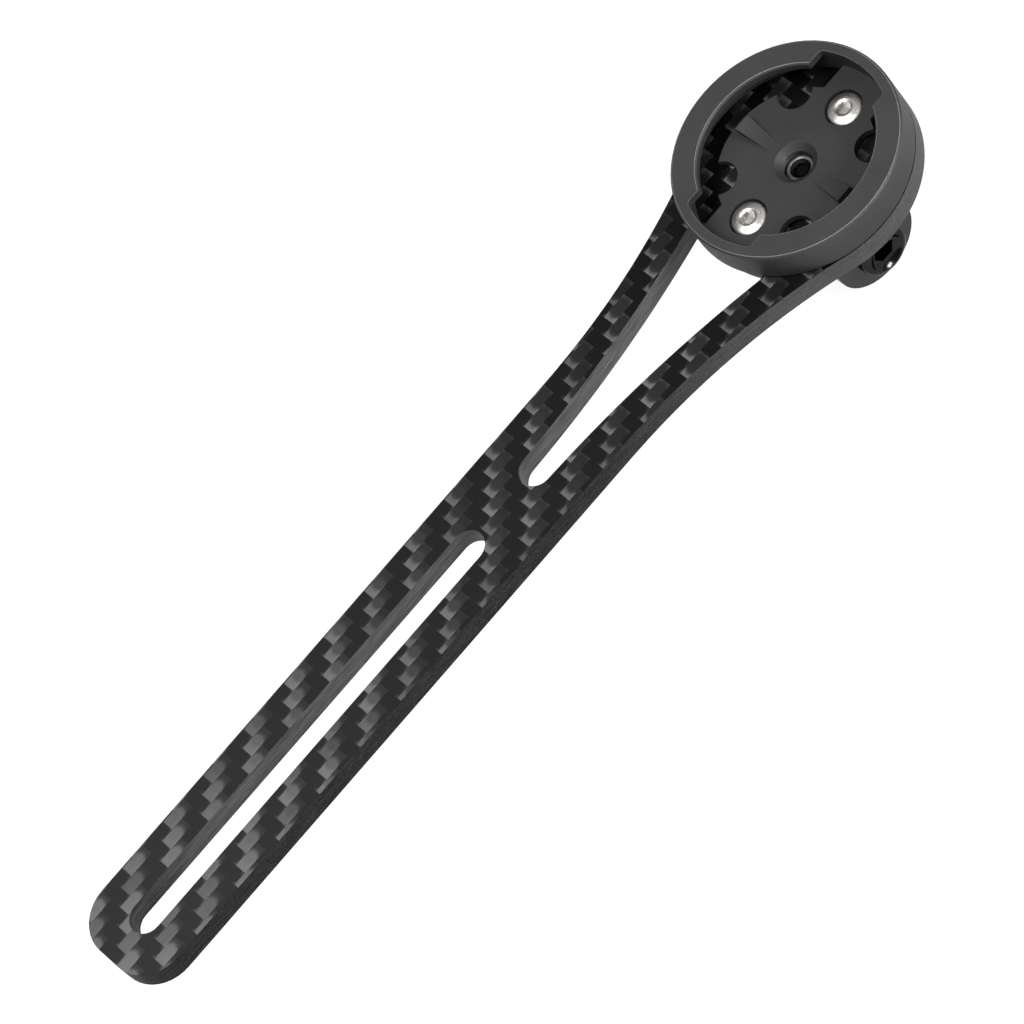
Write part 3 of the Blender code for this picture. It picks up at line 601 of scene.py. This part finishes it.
def threaded_bar(name, crest, pitch, low, high):
    """A bar on Z with a helical thread that runs a little past low and high."""
    root = crest - THREAD_DEPTH * pitch
    bpy.ops.object.select_all(action="DESELECT")
    bpy.ops.mesh.primitive_circle_add(vertices=4, radius=pitch / 2, location=(root, 0, low - pitch),
                                      rotation=(math.pi / 2, 0, 0))
    bar = bpy.context.object
    bar.name = bar.data.name = name
    bpy.ops.object.transform_apply(location=True, rotation=True, scale=True)
    for edge in bar.data.edges:
        edge.select = False
    for corner in bar.data.vertices:
        corner.select = corner.co.x < root - pitch / 10
    bpy.ops.object.mode_set(mode="EDIT")
    bpy.ops.mesh.select_mode(type="VERT")
    bpy.ops.mesh.delete(type="VERT")
    bpy.ops.mesh.select_all(action="SELECT")
    bpy.ops.transform.resize(value=(2 * THREAD_DEPTH, 1, 1), center_override=(root, 0, 0))
    bpy.ops.object.mode_set(mode="OBJECT")
    winding = bar.modifiers.new("winding", "SCREW")
    winding.axis, winding.angle, winding.screw_offset = "Z", math.tau, pitch
    winding.iterations = math.ceil((high - low) / pitch) + 3
    winding.steps = winding.render_steps = TURN_STEPS
    winding.use_merge_vertices = False
    only(bar)
    bpy.ops.object.modifier_apply(modifier=winding.name)
    bpy.ops.object.mode_set(mode="EDIT")
    bpy.ops.mesh.select_all(action="SELECT")
    bpy.ops.mesh.remove_doubles(threshold=0.001 * MM)
    bpy.ops.mesh.fill_holes(sides=0)
    bpy.ops.mesh.select_all(action="SELECT")
    bpy.ops.mesh.normals_make_consistent(inside=False)
    bpy.ops.object.mode_set(mode="OBJECT")
    return bar


def tap(piece, thread, low, high):
    """Bore a hole through a piece, countersink both its ends and cut a thread in it."""
    crest, pitch = THREADS[thread]
    bore, depth, past = crest + TAP_SPARE, THREAD_DEPTH * pitch, 2 * pitch
    wide = bore + depth
    drill = turned("drill", (wide + past, low - past), (bore, low + depth),
                   (bore, high - depth), (wide + past, high + past))
    combine(piece, drill, "DIFFERENCE")
    combine(piece, threaded_bar("tap", wide, pitch, low - past, high + past), "DIFFERENCE")


def set_upright(piece, name, location, lean=(0, 0, 0)):
    """Keep the upright coordinates, then lean the piece, move it and clean its mesh."""
    piece.name = piece.data.name = name
    only(piece)
    bpy.ops.object.mode_set(mode="EDIT")
    bpy.ops.mesh.select_all(action="SELECT")
    bpy.ops.mesh.remove_doubles(threshold=0.0005 * MM)
    bpy.ops.mesh.normals_make_consistent(inside=False)
    bpy.ops.object.mode_set(mode="OBJECT")
    upright = piece.data.attributes.new(UPRIGHT, "FLOAT_VECTOR", "POINT")
    for corner, kept in zip(piece.data.vertices, upright.data):
        kept.vector = corner.co
    piece.rotation_euler, piece.location = lean, location
    bpy.ops.object.transform_apply(location=True, rotation=True, scale=True)
    bpy.ops.object.shade_smooth_by_angle(angle=SMOOTH)
    return piece


print("thread depth of M5 in mm:", round(THREAD_DEPTH * THREADS["M5"][1] / MM, 2))

# %% [markdown]
# ## Screws
#
# A screw's head is turned, its shank is a trimmed threaded bar, and its socket is a hexagon with
# a wider mouth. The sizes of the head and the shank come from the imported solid: the head's
# radius is half the solid's width, and the shank is what is left of its length.

# %% A socket screw
ROD_SPARE = 0.06 * MM                    # the trimming rod stands this far off the crests
MOUTH_START = 0.46                       # just inside the hexagon's flats, of its width
MOUTH_SLOPE = 0.6                        # the mouth's depth, of its width
MOUTH_RINGS = (0, 0.3, 0.6, 0.85, 1.2)   # from there to just above the head


def socket_screw(name, dome, across_flats, socket, lead_in, thread, length, hollow=1.0):
    """An upright screw whose head starts at z = 0. dome lists the head's (radius, height) rings,
    socket is the hexagon's depth and lead_in the radius of its mouth. The mouth is a cone when
    hollow is 1 and a bowl when it is more."""
    crest, pitch = THREADS[thread]
    top = dome[-1][1]
    piece = turned(name, *dome)
    bar = threaded_bar("shank", crest, pitch, -length - pitch / 3, top / 4)
    tip, rod_r = crest - THREAD_DEPTH * pitch, crest + ROD_SPARE
    rod = turned("rod", (tip, -length), (rod_r, pitch - length), (rod_r, top / 4))
    combine(bar, rod, "INTERSECT")
    combine(piece, bar, "UNION")
    combine(piece, hexagon(across_flats, top - socket, top + socket), "DIFFERENCE")
    start = across_flats * MOUTH_START
    width = lead_in - start
    mouth = [(start + t * width, top - MOUTH_SLOPE * width * (1 - t ** hollow))
             for t in MOUTH_RINGS]
    combine(piece, turned("mouth", *mouth), "DIFFERENCE")
    return piece


print("rod clears the crests by", round(ROD_SPARE / MM, 2), "mm")

# %% [markdown]
# The two stainless screws have low button heads, which are domed so that nothing catches on
# them. They are two copies of one model.

# %% Seat screws
M3_HEAD_H = 1.65 * MM
low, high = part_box("seat_screw_front")
head_r = (high.x - low.x) / 2
button = [(head_r - 0.15 * MM, 0.0), (head_r, 0.12 * MM), (head_r, 1.00 * MM),
          (head_r - 0.04 * MM, 1.12 * MM), (head_r - 0.15 * MM, 1.22 * MM),
          (head_r * 0.86, 1.38 * MM), (head_r * 0.72, 1.53 * MM), (head_r * 0.56, M3_HEAD_H)]
model = socket_screw("button_screw", button, across_flats=2.0 * MM, socket=1.2 * MM,
                     lead_in=1.42 * MM, thread="M3", length=high.z - low.z - M3_HEAD_H)
for place in ("front", "rear"):
    low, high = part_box("seat_screw_" + place)
    copy = bpy.data.objects.new("copy", model.data.copy())
    bpy.context.scene.collection.objects.link(copy)
    screw = set_upright(copy, "button_screw_" + place,
                        ((low.x + high.x) / 2, (low.y + high.y) / 2, high.z - M3_HEAD_H))
    finish_piece(screw, "seat_screw_" + place, "stainless_steel", "mount", STAINLESS)
bpy.data.objects.remove(model)

# %% [markdown]
# The small black screw in the dish has a cap head. Its flat rim is painted as a thin grey ring round
# the dark socket, a painted highlight.

# %% Centre screw
M25_HEAD_H = 1.5 * MM
PAINTED_HIGHLIGHT_RIM = 0.13 * MM   # the faces with the painted highlight lie within this distance of the head's top
low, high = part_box("centre_screw")
head_r = (high.x - low.x) / 2
cap = [(head_r - 0.1 * MM, 0.0), (head_r, 0.1 * MM), (head_r, M25_HEAD_H - 0.12 * MM),
       (head_r - 0.12 * MM, M25_HEAD_H)]


def centre_finish(face):
    """1 on the flat rim, which carries the painted highlight, and 0 elsewhere."""
    return int(face.normal.z > 0.6 and face.center.z > high.z - PAINTED_HIGHLIGHT_RIM)


centre = socket_screw("centre", cap, across_flats=2.0 * MM, socket=0.9 * MM,
                      lead_in=1.75 * MM, thread="M2.5", length=high.z - low.z - M25_HEAD_H)
centre = set_upright(centre, "centre_cap_screw",
                     ((low.x + high.x) / 2, (low.y + high.y) / 2, high.z - M25_HEAD_H))
finish_piece(centre, "centre_screw", "blackened_steel", "mount", DRY_OXIDE, STEEL_PAINTED_RIM_HIGHLIGHT,
             pick=centre_finish)

# %% [markdown]
# The camera screw is an M5 cap screw with a well-rounded rim and a bowl round its socket. It
# lies along X, so it is leaned over, and it is the one piece that moves: it slides out of the
# fingers.

# %% Camera screw
M5_HEAD_H = 2.7 * MM
LEAN = (0.0, math.pi / 2, 0.0)   # upright becomes +X
low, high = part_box("camera_screw")
head_r = (high.y - low.y) / 2
round_cap = [(head_r - 0.2 * MM, 0.0), (head_r, 0.2 * MM), (head_r, M5_HEAD_H - 1.05 * MM),
             (head_r - 0.07 * MM, M5_HEAD_H - 0.68 * MM), (head_r - 0.26 * MM, M5_HEAD_H - 0.34 * MM),
             (head_r - 0.55 * MM, M5_HEAD_H - 0.12 * MM), (head_r - 1.0 * MM, M5_HEAD_H)]
pivot = socket_screw("pivot", round_cap, across_flats=3.5 * MM, socket=2.0 * MM,
                     lead_in=3.1 * MM, thread="M5", length=high.x - low.x - M5_HEAD_H, hollow=2.0)
pivot = set_upright(pivot, "camera_cap_screw",
                    (high.x - M5_HEAD_H, (low.y + high.y) / 2, (low.z + high.z) / 2), LEAN)
finish_piece(pivot, "camera_screw", "blackened_steel", "camera_screw", BLACK_OXIDE)

# %% [markdown]
# ## Nut and thread inserts
#
# The nut is a hexagon whose corners are turned off at both ends. Leaned over, two of its corners
# point along Y, as those of its pocket do. It is tapped a little wide, as the inserts are. The
# inserts are pressed into the bracket's pillars: straight knurls hold them, with a groove round
# the waist.

# %% Nut
low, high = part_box("camera_nut")
flats, thick = min(high.y - low.y, high.z - low.z), high.x - low.x
corner = flats / math.sqrt(3)
end_r, side_r, bevel = flats / 2 * 0.96, corner * 1.01, 0.45 * MM
nut = hexagon(flats, -thick / 2, thick / 2)
blank = turned("blank", (end_r, -thick / 2), (side_r, bevel - thick / 2),
               (side_r, thick / 2 - bevel), (end_r, thick / 2))
combine(nut, blank, "INTERSECT")
tap(nut, "M5", -thick / 2, thick / 2)
nut = set_upright(nut, "camera_hex_nut", (low + high) / 2, LEAN)
finish_piece(nut, "camera_nut", "stainless_steel", "mount", STAINLESS)

# %% Thread inserts
KNURL, GROOVE = 0.94, 0.88   # how far the knurls and the groove are drawn in, of the radius
for place, thread in (("front", "M3"), ("rear", "M3"), ("centre", "M2.5")):
    low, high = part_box("thread_insert_" + place)
    r, top = (high.x - low.x) / 2, high.z - low.z
    insert = turned("insert", (r * 0.9, 0.0), (r, 0.25 * MM), (r, top * 0.4),
                    (r * GROOVE, top * 0.45), (r * GROOVE, top * 0.55), (r, top * 0.6),
                    (r, top - 0.1 * MM), (r * 0.96, top), knurl=KNURL)
    tap(insert, thread, 0.0, top)
    insert = set_upright(insert, "brass_insert_" + place,
                         ((low.x + high.x) / 2, (low.y + high.y) / 2, low.z))
    finish_piece(insert, "thread_insert_" + place, "brass", "mount", BRASS)

# %% [markdown]
# ## Studio
#
# The floor is an opal light table, which glows evenly and so shows hardly any shadow. Soft boxes
# hang above it in a dim pale surround. The main box is over the arm's lower end, and its near
# edge is above the arm's middle: a float of the weave shines only where it tips towards the box,
# so the tows are bright at the arm's end and show only their lower tips nearer the head. A faint
# box hangs beyond the head, and a small one beside it lights the walls near the head and leaves
# a spot of light in the camera screw's bowl.

# %% Floor and surround
SURROUND = 0.3   # how bright the surround is to everything but the camera
bpy.ops.object.select_all(action="DESELECT")
bpy.ops.mesh.primitive_circle_add(vertices=96, radius=4.0, fill_type="NGON",
                                  location=(0, 0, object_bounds()[0].z))
floor = bpy.context.object
floor.name = "floor"
opal, tree = new_material("opal_acrylic_light_table")
haze = put(tree, "TexNoise", named={
    "Vector": put(tree, "TexCoord").outputs["Object"], "Scale": 1 / (2 * MM)})
tint = put(tree, "ValToRGB", haze, stops=(0.0, "#606060", 1.0, "#666666"))
glow = put(tree, "BsdfPrincipled", named={
    "Base Color": tint, "Roughness": 0.9, "Specular IOR Level": 0.0,
    "Emission Color": (1, 1, 1, 1), "Emission Strength": 0.92})
put(tree, "OutputMaterial", glow)
floor.data.materials.append(opal)

world = bpy.data.worlds.new("studio")
bpy.context.scene.world = world
world.use_nodes = True
tree = world.node_tree
surround = tree.nodes["Background"]
surround.inputs["Color"].default_value = (1, 1, 1, 1)
# the surround looks white, but lights the object far less
seen = put(tree, "LightPath").outputs["Is Camera Ray"]
glimpse = put(tree, "Math", seen, 1 - SURROUND, SURROUND, operation="MULTIPLY_ADD")
tree.links.new(glimpse.outputs[0], surround.inputs["Strength"])
print("floor at", round(floor.location.z / MM, 1), "mm")

# %% Soft boxes


def soft_box(name, centre, width, height, power, aim):
    """A rectangular lamp that looks at a point."""
    look = Vector(aim) - Vector(centre)
    bpy.ops.object.light_add(type="AREA", location=centre,
                             rotation=look.to_track_quat("-Z", "Y").to_euler())
    lamp = bpy.context.object
    lamp.name = name
    lamp.data.shape, lamp.data.size, lamp.data.size_y = "RECTANGLE", width, height
    lamp.data.energy = power
    return lamp


key = soft_box("main_box", (0.1, -0.36, 1.2), 1.0, 0.7, 22.0, aim=(0.1, -0.36, 0.0))
far = soft_box("far_box", (0.1, 0.62, 1.1), 0.9, 0.3, 1.6, aim=(0.1, 0.62, 0.0))
side = soft_box("side_box", (0.28, 0.24, 0.16), 0.15, 0.1, 2.1, aim=HEAD)
bpy.context.scene.view_settings.view_transform = "Standard"
print("lamps:", key.name, far.name, side.name)
